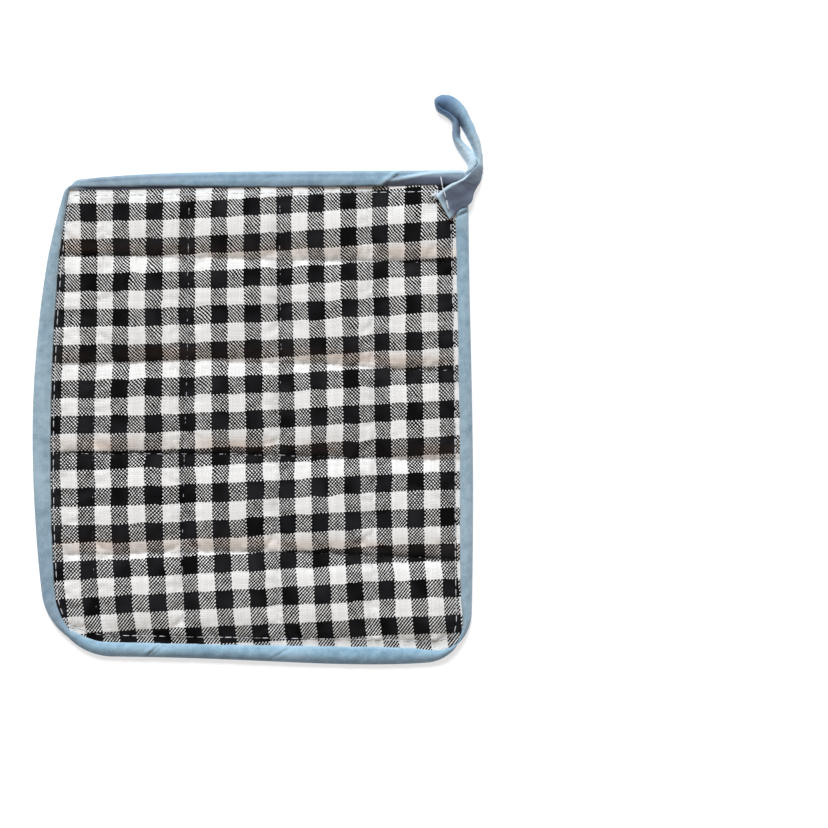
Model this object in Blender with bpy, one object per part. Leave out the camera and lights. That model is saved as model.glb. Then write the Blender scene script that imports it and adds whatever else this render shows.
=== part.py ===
"""A quilted pot holder lying face up on a table: a padded square of cloth, its binding and a hanging loop.

Metres, +Z up, the holder's top edge towards +Y. Sizes are in millimetres and scaled as each mesh is made.
"""

import bmesh
import bpy
import numpy as np

MM = 0.001
JOIN_DISTANCE = 0.01    # points of one mesh closer than this are one point

# The holder in plan. A line that runs down it gives its x at five even steps from the top edge to the
# bottom edge, and a line that runs across it gives its y at five even steps from the left to the right.
LINES_DOWN = {
    #                     top   upper  middle   lower  bottom
    "left outline":    (-86.2, -96.6, -101.2, -99.4, -93.4),
    "left binding":    (-82.0, -90.2, -92.7, -92.2, -87.8),
    "seam 1":          (-65.5, -68.3, -71.0, -71.3, -69.0),
    "seam 2":          (-28.5, -29.5, -30.4, -30.8, -28.5),
    "seam 3":          (12.9, 12.9, 12.9, 11.8, 12.5),
    "seam 4":          (52.5, 55.0, 56.3, 55.4, 56.6),
    "right binding":   (93.5, 94.5, 95.5, 95.8, 97.3),
    "right outline":   (99.7, 100.2, 101.4, 101.6, 100.5),
}
LINES_ACROSS = {
    #                    left  quarter  middle  beyond   right
    "top outline":     (109.3, 113.0, 113.9, 114.2, 114.2),
    "top binding":     (104.8, 106.0, 106.8, 107.0, 108.0),
    "seam 1":          (75.0, 74.0, 72.9, 72.1, 71.5),
    "seam 2":          (24.5, 25.3, 25.7, 23.5, 22.0),
    "seam 3":          (-16.0, -16.6, -17.0, -18.6, -18.8),
    "seam 4":          (-63.0, -62.3, -61.6, -63.2, -65.2),
    "bottom binding":  (-103.0, -103.6, -104.6, -105.4, -106.8),
    "bottom outline":  (-109.5, -110.2, -111.8, -113.6, -110.0),
}
CORNERS = {
    #                 share across, share down, radius
    "top left":      (0.0, 0.0, 4.0),
    "top right":     (1.0, 0.0, 4.0),
    "bottom left":   (0.0, 1.0, 29.0),
    "bottom right":  (1.0, 1.0, 20.0),
}

# The pad's heights above the table: it is pressed thin in its seams and under the binding, and swells
# between them.
SEAM_TOP = 3.2
SEAM_BOTTOM = 1.2
PUFF_TOP = 6.8
PUFF_SINK = 2.6         # how far the underside would sag below its seams if the table did not stop it
PUFF_SHOULDER = 9.0     # the distance from a seam at which a puff has its full height
SEAM_HALF_WIDTH = 0.3   # a seam's groove is flat over this distance to each side
STITCH_MARGIN = 1.6     # from the binding's edge to the stitching that starts the outer puffs
PAD_EDGE = 0.32         # where the pad ends inside the binding, as a share of the binding's width
PAD_TAPER = 1.0         # the pad's edge is rounded over this width
PATCH_DIVISIONS = 8
GINGHAM_MEAN = (0.5, 0.49, 0.47)
GINGHAM_ROUGHNESS = 0.9

# The binding's cross-section, from its front inner edge over the fold to its back: a share of the strip's
# width, which is 0 at the outline and 1 at the binding's inner edge, and a height above the table.
BINDING_SECTION = (
    # share, height
    (1.00, 4.1), (0.60, 4.6), (0.22, 4.3), (0.04, 3.3), (0.00, 2.2), (0.04, 1.1), (0.16, 0.0),
    (1.00, 0.0), (1.00, 0.8), (0.25, 0.8), (0.13, 2.2), (0.25, 3.6), (1.00, 3.6),
)
BINDING_STATIONS = 32   # along each of the four sides
TAPE_BLUE = (0.24, 0.42, 0.56)
TAPE_ROUGHNESS = 0.8

# The hanging loop's strip, from its sewn end on the front of the top right corner, up, round and back to
# the corner. Lift is the height of the strip's lowest point, and roll leans it over: 0 lies flat and 90
# stands on its edge.
LOOP = {
    #                   x      y     lift  width thick  roll
    "sewn end":      (88.6, 97.8, 5.0, 11.4, 1.2, 0),
    "over the pad":  (92.2, 100.8, 5.0, 11.8, 1.2, 0),
    "corner":        (96.4, 104.6, 5.0, 10.8, 1.2, 0),
    "top edge":      (100.6, 109.6, 4.9, 8.4, 1.3, 8),
    "leaves corner": (103.3, 115.4, 3.4, 6.2, 1.5, 30),
    "outer low":     (104.6, 121.4, 1.2, 6.0, 1.6, 48),
    "outer middle":  (103.9, 127.6, 0.2, 6.0, 1.7, 50),
    "outer high":    (101.8, 133.4, 0.0, 6.2, 1.8, 46),
    "shoulder":      (98.6, 139.2, 0.0, 6.8, 2.0, 40),
    "top":           (94.0, 144.0, 0.0, 7.0, 2.2, 38),
    "crest":         (88.6, 146.0, 0.0, 6.6, 2.2, 48),
    "turn":          (84.8, 143.4, 0.0, 6.4, 2.0, 58),
    "inner high":    (85.6, 138.2, 0.0, 6.2, 1.8, 58),
    "inner middle":  (89.4, 133.2, 0.0, 6.0, 1.7, 56),
    "inner bend":    (92.8, 128.2, 0.0, 6.0, 1.7, 58),
    "inner low":     (96.2, 124.0, 0.0, 5.8, 1.7, 62),
    "fold":          (98.8, 119.8, 0.4, 5.2, 1.6, 72),
    "root":          (98.6, 115.0, 0.6, 4.4, 1.6, 88),
}
LOOP_SECTION = (
    # half-widths, half-thicknesses
    (1.0, 0.0), (0.8, 1.0), (0.0, 1.0), (-0.8, 1.0), (-1.0, 0.0), (-0.8, -1.0), (0.0, -1.0), (0.8, -1.0),
)
LOOP_STATIONS = 64
HELD_DOWN_REACH = 24.0  # the loop's sewn end holds the pad down, out to this distance
HELD_DOWN_SHARE = 0.3   # the share of a puff's height that is left under the sewn end


def line_places(lines, along):
    """Where every line lies at each share along it, on the smooth curve through its five places."""
    found = []
    for places in lines.values():
        steps = np.linspace(0, 1, len(places))
        found.append(np.polyval(np.polyfit(steps, places, len(places) - 1), along))
    return np.array(found)


def line_shares(lines):
    """The share of the holder's width, or height, at which each line lies, taken along its middle."""
    middle = line_places(lines, np.array([0.5]))[:, 0]
    return (middle - middle[0]) / (middle[-1] - middle[0])


def place_between(lines, over, along):
    """The place of each point that lies at a share over the set of lines and a share along them."""
    shares = line_shares(lines)
    places = line_places(lines, along)
    first = np.clip(np.searchsorted(shares, over, side="right") - 1, 0, len(shares) - 2)
    part = (over - shares[first]) / (shares[first + 1] - shares[first])
    point = np.arange(len(over))
    return places[first, point] * (1 - part) + places[first + 1, point] * part


def rounded(x, y):
    """The plan with rounded corners: each outline is drawn in to a quarter circle, its inside less so."""
    for across, down, radius in CORNERS.values():
        at = np.array([across]), np.array([down])
        corner_x = place_between(LINES_DOWN, *at)[0]
        corner_y = place_between(LINES_ACROSS, at[1], at[0])[0]
        inward_x = 1 - 2 * across
        inward_y = 2 * down - 1
        part_x = 1 - (x - corner_x) * inward_x / radius
        part_y = 1 - (y - corner_y) * inward_y / radius
        inside = (part_x > 0) & (part_y > 0)
        outwards = np.maximum(part_x, part_y)
        from_round_centre = np.where(inside, np.hypot(part_x, part_y), 1)
        circle = outwards / from_round_centre
        drawn_in = 1 - (1 - circle) * np.minimum(outwards, 1)
        x = np.where(inside, corner_x + inward_x * radius * (1 - part_x * drawn_in), x)
        y = np.where(inside, corner_y + inward_y * radius * (1 - part_y * drawn_in), y)
    return x, y


def left_by_loop(x, y):
    """The share of a puff's height that the loop's sewn end leaves, 1 at the end of its reach."""
    sewn_x, sewn_y = LOOP["over the pad"][:2]
    distance = np.hypot(x - sewn_x, y - sewn_y) / HELD_DOWN_REACH
    share = np.clip(2 * distance - 1, 0, 1)
    return HELD_DOWN_SHARE + (1 - HELD_DOWN_SHARE) * share * share * (3 - 2 * share)


def puff_height(lines, place, along):
    """0 on the nearest seam and outside the edge stitching, rising as a quarter round to 1 between."""
    seams = line_places(lines, along)[1:-1]
    inward = np.sign(seams[-1] - seams[0])
    seams[0] += inward * STITCH_MARGIN
    seams[-1] -= inward * STITCH_MARGIN
    within = (place - seams[0]) * (place - seams[-1]) < 0
    distance = np.where(within, np.abs(seams - place).min(axis=0), 0)
    share = np.clip((distance - SEAM_HALF_WIDTH) / PUFF_SHOULDER, 0, 1)
    return np.sqrt(np.sin(share * np.pi / 2))


def pad_marks(lines):
    """The pad's grid across one set of lines: its rim, then every patch with finer steps near its seams."""
    shares = line_shares(lines)
    middle = line_places(lines, np.array([0.5]))[:, 0]
    millimetre = 1 / abs(middle[-1] - middle[0])
    low_edge = shares[0] + PAD_EDGE * (shares[1] - shares[0])
    high_edge = shares[-1] - PAD_EDGE * (shares[-1] - shares[-2])
    first_stop = shares[1] + STITCH_MARGIN * millimetre
    last_stop = shares[-2] - STITCH_MARGIN * millimetre
    stops = [first_stop, *shares[2:-2], last_stop]
    steps = (1 - np.cos(np.linspace(0, np.pi, PATCH_DIVISIONS + 1))) / 2
    patches = [start + (end - start) * steps[:-1] for start, end in zip(stops, stops[1:])]
    rim = PAD_TAPER * millimetre
    return np.concatenate([[low_edge, low_edge + rim], *patches, [last_stop, high_edge - rim, high_edge]])


def add_grid(mesh, columns, rows, place):
    """Adds a grid whose points are moved to place(column, row), given all their column and row numbers."""
    added = bmesh.ops.create_grid(mesh, x_segments=columns - 1, y_segments=rows - 1, size=0.5)["verts"]
    column = np.array([round((vert.co.x + 0.5) * (columns - 1)) for vert in added])
    row = np.array([round((vert.co.y + 0.5) * (rows - 1)) for vert in added])
    for vert, point in zip(added, place(column, row)):
        vert.co = point * MM


def finished(name, mesh, colour, roughness):
    """The object of a mesh with its material: points that coincide are joined and faces point out."""
    bmesh.ops.remove_doubles(mesh, verts=mesh.verts, dist=JOIN_DISTANCE * MM)
    open_edges = [edge for edge in mesh.edges if edge.is_boundary]
    bmesh.ops.holes_fill(mesh, edges=open_edges, sides=0)
    bmesh.ops.recalc_face_normals(mesh, faces=mesh.faces)
    data = bpy.data.meshes.new(name)
    mesh.to_mesh(data)
    mesh.free()
    data.shade_smooth()
    material = bpy.data.materials.new(name)
    material.use_nodes = True
    shader = material.node_tree.nodes["Principled BSDF"]
    shader.inputs["Base Color"].default_value = (*colour, 1)
    shader.inputs["Roughness"].default_value = roughness
    data.materials.append(material)
    return bpy.data.objects.new(name, data)


def make_pad():
    """Front and back cloth over one filling: two quilted sheets that meet at the rim."""
    across_marks = pad_marks(LINES_DOWN)
    down_marks = pad_marks(LINES_ACROSS)
    last_column = len(across_marks) - 1
    last_row = len(down_marks) - 1

    def place(column, row, front):
        across = across_marks[column]
        down = down_marks[row]
        x = place_between(LINES_DOWN, across, down)
        y = place_between(LINES_ACROSS, down, across)
        puff = puff_height(LINES_DOWN, x, down) * puff_height(LINES_ACROSS, y, across)
        top = SEAM_TOP + (PUFF_TOP - SEAM_TOP) * puff * left_by_loop(x, y)
        bottom = np.maximum(SEAM_BOTTOM - PUFF_SINK * puff, 0)
        rim = (column == 0) | (column == last_column) | (row == 0) | (row == last_row)
        height = np.where(rim, (SEAM_TOP + SEAM_BOTTOM) / 2, top if front else bottom)
        return np.column_stack([*rounded(x, y), height])

    mesh = bmesh.new()
    for front in (True, False):
        add_grid(mesh, last_column + 1, last_row + 1, lambda column, row: place(column, row, front))
    return finished("pad", mesh, GINGHAM_MEAN, GINGHAM_ROUGHNESS)


def side_stations():
    """Shares along one side of the holder, closer together towards its corners."""
    even = np.linspace(0, 1, BINDING_STATIONS + 1)[:-1]
    return (even + (1 - np.cos(even * np.pi)) / 2) / 2


def make_binding():
    """The folded strip: its section is carried round between the outline and the binding's inner edge."""
    side = side_stations()
    start, end = np.zeros_like(side), np.ones_like(side)
    around = np.concatenate([side, end, 1 - side, start])
    down_around = np.concatenate([start, side, end, 1 - side])
    section = np.array(BINDING_SECTION)
    left, right = line_shares(LINES_DOWN)[[1, -2]]
    top, bottom = line_shares(LINES_ACROSS)[[1, -2]]

    def place(column, row):
        share, height = section[row % len(section)].T
        station = column % len(around)
        across = share * left + around[station] * (1 - share * (1 - right + left))
        down = share * top + down_around[station] * (1 - share * (1 - bottom + top))
        x = place_between(LINES_DOWN, across, down)
        y = place_between(LINES_ACROSS, down, across)
        return np.column_stack([*rounded(x, y), height])

    mesh = bmesh.new()
    add_grid(mesh, len(around) + 1, len(section) + 1, place)
    return finished("binding", mesh, TAPE_BLUE, TAPE_ROUGHNESS)


def smooth_rows(table, count):
    """A table's rows carried along a smooth curve through them, at evenly spaced steps."""
    rows = np.array(list(table.values()), dtype=float)
    padded = np.vstack([2 * rows[0] - rows[1], rows, 2 * rows[-1] - rows[-2]])
    step = np.linspace(0, len(rows) - 1, count)
    first = np.minimum(step.astype(int), len(rows) - 2)
    part = (step - first)[:, None]
    before, here, there, after = (padded[first + shift] for shift in range(4))
    slope = (there - before) / 2
    bend = before - 2.5 * here + 2 * there - 0.5 * after
    twist = 1.5 * here - 0.5 * before - 1.5 * there + 0.5 * after
    return here + slope * part + bend * part ** 2 + twist * part ** 3


def make_loop():
    """The hanging loop: a flat section carried along the strip's path, leaning and lifted as it goes."""
    x, y, lift, width, thick, roll = smooth_rows(LOOP, LOOP_STATIONS).T
    lift = np.maximum(lift, 0)
    heading = np.column_stack([np.gradient(x), np.gradient(y)])
    heading /= np.linalg.norm(heading, axis=1)[:, None]
    lean = np.radians(roll)
    section = np.array(LOOP_SECTION)

    def place(column, row):
        half_widths, half_thicknesses = section[column % len(section)].T
        over = half_widths * width[row] / 2
        up = half_thicknesses * thick[row] / 2
        level = over * np.cos(lean[row]) - up * np.sin(lean[row])
        height = over * np.sin(lean[row]) + up * np.cos(lean[row])
        lowest = np.full(len(x), np.inf)
        np.minimum.at(lowest, row, height)
        return np.column_stack([x[row] - heading[row, 1] * level, y[row] + heading[row, 0] * level,
                                height - lowest[row] + lift[row]])

    mesh = bmesh.new()
    add_grid(mesh, len(section) + 1, len(x), place)
    return finished("loop", mesh, TAPE_BLUE, TAPE_ROUGHNESS)


def build():
    """Makes the three pieces and centres them: the origin is on the table, in the middle of the whole."""
    for old in list(bpy.data.objects):
        bpy.data.objects.remove(old)
    collection = bpy.data.collections.new("pot_holder")
    bpy.context.scene.collection.children.link(collection)
    centre = bpy.data.objects.new("centre", None)
    collection.objects.link(centre)
    pieces = [make_pad(), make_binding(), make_loop()]
    for piece in pieces:
        collection.objects.link(piece)
        piece.parent = centre
    points = np.array([point for piece in pieces for point in piece.bound_box])
    middle = (points.min(axis=0) + points.max(axis=0)) / 2
    centre.location = (-middle[0], -middle[1], 0)


build()
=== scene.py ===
"""A quilted pot holder of checked cotton, face up on a pale table, bound with blue tape that ends in a loop.

Sizes are in millimetres in the holder's own plan, and become metres in the frame as each mesh is made.
"""

import math

import bpy
import numpy as np
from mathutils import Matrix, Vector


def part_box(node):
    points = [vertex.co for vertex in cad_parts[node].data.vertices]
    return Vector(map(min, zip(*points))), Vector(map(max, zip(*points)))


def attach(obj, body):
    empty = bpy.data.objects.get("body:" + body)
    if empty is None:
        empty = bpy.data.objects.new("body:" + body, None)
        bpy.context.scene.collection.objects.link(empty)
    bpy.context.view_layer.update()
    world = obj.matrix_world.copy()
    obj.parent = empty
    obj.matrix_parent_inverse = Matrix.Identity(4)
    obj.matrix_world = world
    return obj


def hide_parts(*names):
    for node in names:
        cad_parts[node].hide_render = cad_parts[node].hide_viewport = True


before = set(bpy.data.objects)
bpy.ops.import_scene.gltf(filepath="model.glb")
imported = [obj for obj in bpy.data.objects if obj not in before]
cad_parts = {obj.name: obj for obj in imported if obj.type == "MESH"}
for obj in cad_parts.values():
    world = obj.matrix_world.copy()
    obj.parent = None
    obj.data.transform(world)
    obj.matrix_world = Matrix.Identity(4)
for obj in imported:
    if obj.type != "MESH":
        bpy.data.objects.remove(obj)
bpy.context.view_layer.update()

# ---------------------------------------------------------------------------------------------------
# The pad: two squares of woven check with a thin wadding between them, quilted through with four lines
# of stitching each way, so that the cloth swells between the seams and puckers along them. It was cut
# square and has pulled askew in use, so every line on it has its own table of places.
# ---------------------------------------------------------------------------------------------------
MM = 0.001
LINES_DOWN = {
    # x at five even steps from the top edge
    #                     top   upper  middle   lower  bottom
    "left outline":    (-84.4, -96.6, -101.2, -99.4, -93.4),
    "left binding":    (-82.6, -90.2, -92.7, -92.2, -87.8),
    "seam 1":          (-65.5, -69.5, -72.9, -73.3, -70.5),
    "seam 2":          (-28.5, -29.5, -30.6, -32.0, -30.0),
    "seam 3":          (12.9, 12.9, 12.9, 11.8, 12.5),
    "seam 4":          (52.5, 55.0, 56.3, 55.4, 56.6),
    "right binding":   (93.5, 94.5, 95.5, 95.8, 97.3),
    "right outline":   (99.7, 100.2, 101.4, 101.6, 100.5),
}
LINES_ACROSS = {
    # y at five even steps from the left edge
    #                    left  quarter  middle  beyond   right
    "top outline":     (108.6, 112.5, 113.6, 113.9, 114.1),
    "top binding":     (105.2, 105.4, 106.2, 106.6, 108.0),
    "seam 1":          (75.0, 74.0, 72.9, 72.1, 71.5),
    "seam 2":          (24.5, 25.3, 25.7, 23.5, 22.0),
    "seam 3":          (-16.0, -16.6, -17.0, -18.6, -18.8),
    "seam 4":          (-63.0, -62.3, -61.6, -63.2, -65.2),
    "bottom binding":  (-103.0, -103.6, -104.6, -105.4, -106.8),
    "bottom outline":  (-109.5, -110.2, -111.8, -113.6, -110.0),
}
CORNERS = {
    #                 share across, share down, radius
    "top left":      (0.0, 0.0, 5.0),
    "top right":     (1.0, 0.0, 4.0),
    "bottom left":   (0.0, 1.0, 29.0),
    "bottom right":  (1.0, 1.0, 20.0),
}
SEAM_TOP = 3.2              # the upper cloth's height along the seams
SEAM_BOTTOM = 1.2           # and the lower one's
SLACK = (0.02, 0.15)        # spare cloth between the seams, from the smoothest part to the most gathered
WADDING_LIFT = 1.4          # the wadding under the cloth deepens its folds by this much
PUFF_LIMIT = 5.2            # and lifts it no further than this over the seams
BACK_SHARE = 0.75           # the back swells less, because the holder lies on it
BACK_PRESSED = 0.06         # how softly the table stops it
CLOTH_FRAMES = 28
ROUGH_SIZE = (200, 220)     # the holder's rough width and height, for distances in from its edges
TUCKED = (8, 14)            # no spare cloth this near the edge, and all of it this much further in
STITCH_MARGINS = ((1.4, 2.2), (2.8, 3.4))   # to the stitching beside the binding: left, right; top, bottom
PAD_EDGE = 0.32             # the pad ends inside the binding, at this share of the binding's width
PAD_TAPER = 1.0
GRID_STEP = 1.15
SEAM_LIP = 0.5              # the grid's extra lines, this far to each side of a seam
HELD_DOWN = (91.0, 100.0, 8.0)      # where the loop's end is sewn through: x, y and reach
GATHERED = (-66.0, -74.0, 20.0)     # most gathered along the first seam down: x at top and bottom, reach
CREASE_SHADE = {
    # how dark the painted shade in the fold just above each seam across is, at five even steps
    #         left  quarter  middle  beyond  right
    "seam 1": (0.40, 0.30, 0.10, 0.55, 0.95),
    "seam 2": (0.25, 0.30, 0.10, 0.15, 0.40),
    "seam 3": (0.95, 1.00, 0.75, 0.30, 0.70),
    "seam 4": (0.15, 0.10, 0.25, 0.85, 0.80),
}
CREASE_SHADE_AT = (0.8, 1.0)      # how far above its seam a crease lies, and its reach
WARM_SHADE_AT = (3.9, 3.2)      # and the slope above it, painted a warm shade

# The weave. White columns and rows of the check by number, and their places at five even steps, from the
# top to the bottom or from the left to the right of the part between the two ends.
CHECK_COLUMNS = {
    #      top  upper  middle  lower  bottom
    0:  (-83.1, -82.6, -84.0, -83.8, -80.2),
    3:  (-37.1, -37.4, -37.4, -37.0, -34.0),
    6:  (7.4, 7.8, 8.7, 9.2, 11.6),
    9:  (51.6, 52.2, 53.0, 53.5, 56.1),
    11: (81.5, 81.6, 82.4, 82.9, 85.8),
}
COLUMN_ENDS = (100.3, -99.8)
CHECK_ROWS = {
    #     left  quarter  middle  beyond  right
    1:  (86.5, 86.9, 88.9, 91.5, 95.0),
    4:  (37.6, 38.5, 39.9, 42.0, 44.4),
    7:  (-11.4, -10.5, -8.9, -6.7, -4.2),
    10: (-61.9, -60.3, -58.0, -55.3, -53.7),
    12: (-96.1, -92.8, -90.9, -88.5, -86.6),
}
ROW_ENDS = (-86.0, 88.8)
THREADS = 20                # in one repeat of the check: ten white, then ten black
BLACK_YARN_GAIN = 0.3       # black yarn is a little thicker and covers more than half of a mixed square


def line_places(lines, along):
    """Where every line lies at each share along it, on the smooth curve through its five places."""
    found = []
    for places in lines.values():
        steps = np.linspace(0, 1, len(places))
        found.append(np.polyval(np.polyfit(steps, places, len(places) - 1), along))
    return np.array(found)


def line_shares(lines):
    """The share of the holder's width, or height, at which each line lies, taken along its middle."""
    middle = line_places(lines, np.array([0.5]))[:, 0]
    return (middle - middle[0]) / (middle[-1] - middle[0])


def place_between(lines, over, along):
    """The place of each point that lies at a share over the set of lines and a share along them."""
    shares = line_shares(lines)
    places = line_places(lines, along)
    first = np.clip(np.searchsorted(shares, over, side="right") - 1, 0, len(shares) - 2)
    part = (over - shares[first]) / (shares[first + 1] - shares[first])
    point = np.arange(len(over))
    return places[first, point] * (1 - part) + places[first + 1, point] * part


def in_plan(across, down):
    """Plan x and y of points given by their shares across and down the holder, its corners rounded.

    Near a corner a point's distances in from both outlines, over the corner's radius and taken from one,
    are its two parts. A square of such parts is drawn in to a quarter circle, the more so the further out.
    """
    x = place_between(LINES_DOWN, across, down)
    y = place_between(LINES_ACROSS, down, across)
    for corner_across, corner_down, radius in CORNERS.values():
        inward_x = 1 - 2 * corner_across
        inward_y = 2 * corner_down - 1
        part_x = 1 - (x - place_between(LINES_DOWN, across * 0 + corner_across, down)) * inward_x / radius
        part_y = 1 - (y - place_between(LINES_ACROSS, down * 0 + corner_down, across)) * inward_y / radius
        outwards = np.maximum(part_x, part_y)
        circle = outwards / np.maximum(np.hypot(part_x, part_y), 0.01)
        drawn_in = (1 - circle) * np.minimum(outwards, 1) * (np.minimum(part_x, part_y) > 0)
        x = x + inward_x * radius * part_x * drawn_in
        y = y + inward_y * radius * part_y * drawn_in
    return x, y


def soft_noise(x, y, size_x, size_y, seed):
    """Smooth random hills from -1 to 1: random heights on a lattice, blended with an S curve between."""
    hills = 96
    heights = np.random.default_rng(seed).uniform(-1, 1, (hills + 1, hills + 1))
    place_x = x / size_x + hills / 2
    place_y = y / size_y + hills / 2
    column = np.floor(place_x).astype(int)
    row = np.floor(place_y).astype(int)
    part_x = place_x - column
    part_y = place_y - row
    part_x = part_x * part_x * (3 - 2 * part_x)
    part_y = part_y * part_y * (3 - 2 * part_y)
    column, row = column % hills, row % hills
    low = heights[row, column] * (1 - part_x) + heights[row, column + 1] * part_x
    high = heights[row + 1, column] * (1 - part_x) + heights[row + 1, column + 1] * part_x
    return low * (1 - part_y) + high * part_y


def wandering(across, down):
    """Plan x and y with the cloth pulled a little to and fro by its puckers, more so away from the edge."""
    x, y = in_plan(across, down)
    inside = np.clip(9 * np.minimum(np.minimum(across, 1 - across), np.minimum(down, 1 - down)) - 0.35, 0, 1)
    return (x + inside * (0.34 * soft_noise(x, y, 12, 6, 11) + 0.16 * soft_noise(x, y, 5, 3.4, 12)),
            y + inside * (0.42 * soft_noise(x, y, 7, 12, 13) + 0.22 * soft_noise(x, y, 3.4, 5, 14)))


def quilt_marks(lines, margins):
    """The pad's grid across one set of lines, and which of its marks are seams and which lie by its edge.

    The marks are even steps from seam to seam, with one more close to each side of a seam.
    """
    shares = line_shares(lines)
    middle = line_places(lines, np.array([0.5]))[:, 0]
    millimetre = 1 / abs(middle[-1] - middle[0])
    low_edge = shares[0] + PAD_EDGE * (shares[1] - shares[0])
    high_edge = shares[-1] - PAD_EDGE * (shares[-1] - shares[-2])
    stops = [shares[1] + margins[0] * millimetre, *shares[2:-2], shares[-2] - margins[1] * millimetre]
    marks = [low_edge, low_edge + PAD_TAPER * millimetre, (low_edge + stops[0]) / 2]
    for start, end in zip(stops, stops[1:]):
        lip = SEAM_LIP * millimetre
        count = round((end - start - 2 * lip) / millimetre / GRID_STEP)
        marks += [start, *np.linspace(start + lip, end - lip, count + 1)]
    marks += [stops[-1], (high_edge + stops[-1]) / 2, high_edge - PAD_TAPER * millimetre, high_edge]
    marks = np.array(marks)
    return marks, np.isin(marks, stops[1:-1]), (marks <= stops[0]) | (marks >= stops[-1])


def grid_faces(numbers):
    """The four-sided faces of a grid, from the numbers of its points in rows and columns."""
    corners = [numbers[:-1, :-1], numbers[:-1, 1:], numbers[1:, 1:], numbers[1:, :-1]]
    return np.stack(corners, axis=-1).reshape(-1, 4)


def billowed(points, faces, held, gathered):
    """Where the points of cloth with spare length come to lie, held at its stitches and lifted by wadding."""
    cloth_scale = 0.01
    data = bpy.data.meshes.new("billow")
    data.from_pydata((points * cloth_scale).tolist(), [], faces.tolist())
    cloth = bpy.data.objects.new("billow", data)
    scene = bpy.context.scene
    scene.collection.objects.link(cloth)
    cloth.vertex_groups.new(name="held").add(np.flatnonzero(held).tolist(), 1.0, "REPLACE")
    slack = cloth.vertex_groups.new(name="slack")
    levels = 20
    for level in range(levels + 1):
        slack.add(np.flatnonzero(np.round(gathered * levels) == level).tolist(), level / levels, "REPLACE")
    modifier = cloth.modifiers.new("cloth", "CLOTH")
    modifier.collision_settings.use_collision = False
    settings = modifier.settings
    settings.vertex_group_mass = "held"
    settings.vertex_group_shrink = "slack"
    settings.shrink_min, settings.shrink_max = -SLACK[0], -SLACK[1]
    settings.quality = 6
    settings.mass = 0.1
    settings.tension_stiffness = settings.compression_stiffness = 25
    settings.shear_stiffness = 12
    settings.bending_stiffness = 0.02
    settings.air_damping = 2
    usual_gravity = tuple(scene.gravity)
    scene.gravity = (0, 0, 4)
    for frame_number in range(1, CLOTH_FRAMES + 1):
        scene.frame_set(frame_number)
    found = cloth.evaluated_get(bpy.context.evaluated_depsgraph_get()).data
    moved = np.empty(len(found.vertices) * 3)
    found.vertices.foreach_get("co", moved)
    scene.frame_set(1)
    scene.gravity = usual_gravity
    bpy.data.objects.remove(cloth)
    return moved.reshape(-1, 3) / cloth_scale


def check_numbers(lines, ends, place, along):
    """The check's column or row number at each place, with whole numbers in the middle of the white ones."""
    numbers = np.array(list(lines))
    places = line_places(lines, (along - ends[0]) / (ends[1] - ends[0]))
    rising = np.sign(places[-1] - places[0])
    first = np.clip(((places - place) * rising <= 0).sum(axis=0) - 1, 0, len(numbers) - 2)
    point = np.arange(len(place))
    part = (place - places[first, point]) / (places[first + 1, point] - places[first, point])
    return numbers[first] + part * (numbers[first + 1] - numbers[first])


outline_share = np.linspace(0, 1, 400)
outline_x, outline_y = in_plan(
    np.concatenate([outline_share, outline_share, outline_share * 0, outline_share * 0 + 1]),
    np.concatenate([outline_share * 0, outline_share * 0 + 1, outline_share, outline_share]))
binding_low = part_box("binding")[0]
SHIFT = np.array([binding_low[0] / MM - outline_x.min(), binding_low[1] / MM - outline_y.min(), 0])


def new_object(name, points, faces, uv=None):
    """An object whose mesh has these points, in millimetres of the plan, faces, and places in the weave."""
    data = bpy.data.meshes.new(name)
    data.from_pydata(((np.asarray(points, dtype=float) + SHIFT) * MM).tolist(), [],
                     faces if isinstance(faces, list) else faces.tolist())
    data.shade_smooth()
    if uv is not None:
        corner = np.empty(len(data.loops), dtype=int)
        data.loops.foreach_get("vertex_index", corner)
        places = np.asarray(uv, dtype=np.float32)[corner]
        data.uv_layers.new(name="weave").data.foreach_set("uv", places.ravel())
    made = bpy.data.objects.new(name, data)
    bpy.context.scene.collection.objects.link(made)
    return made


def set_measure(made, name, values):
    """A number at each point of a piece, which its material reads by this name."""
    attribute = made.data.attributes.new(name, "FLOAT", "POINT")
    attribute.data.foreach_set("value", np.asarray(values, dtype=np.float32).ravel())


across_marks, seam_across, edge_across = quilt_marks(LINES_DOWN, STITCH_MARGINS[0])
down_marks, seam_down, edge_down = quilt_marks(LINES_ACROSS, STITCH_MARGINS[1])
front_numbers = np.arange(len(down_marks) * len(across_marks)).reshape(len(down_marks), len(across_marks))
pad_across, pad_down = (part.ravel() for part in np.meshgrid(across_marks, down_marks))
flat_x, flat_y = in_plan(pad_across, pad_down)
pad_x, pad_y = wandering(pad_across, pad_down)
every_other = np.indices(front_numbers.shape).sum(axis=0) % 2 == 0
held = (seam_across[None, :] | seam_down[:, None]) & every_other | edge_across[None, :] | edge_down[:, None]
held = held.ravel() | (np.hypot(pad_x - HELD_DOWN[0], pad_y - HELD_DOWN[1]) < HELD_DOWN[2])
gathered_x = GATHERED[0] + (GATHERED[1] - GATHERED[0]) * pad_down
from_edge = np.minimum(np.minimum(pad_across, 1 - pad_across) * ROUGH_SIZE[0],
                       np.minimum(pad_down, 1 - pad_down) * ROUGH_SIZE[1])
near_gathered = np.exp(-((pad_x - gathered_x) / GATHERED[2]) ** 2)
gathered = np.clip((from_edge - TUCKED[0]) / TUCKED[1], 0, 1) * (
    0.48 + 0.3 * soft_noise(pad_x, pad_y, 30, 26, 15) + 0.6 * near_gathered)
lifted = np.where(held, 0, 0.4 + 0.3 * soft_noise(pad_x, pad_y, 3, 3, 16))
moved = billowed(np.column_stack([pad_x, pad_y, lifted]), grid_faces(front_numbers), held,
                 np.clip(gathered, 0, 1))
pad_x, pad_y = moved[:, 0], moved[:, 1]
rise = moved[:, 2]
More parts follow.
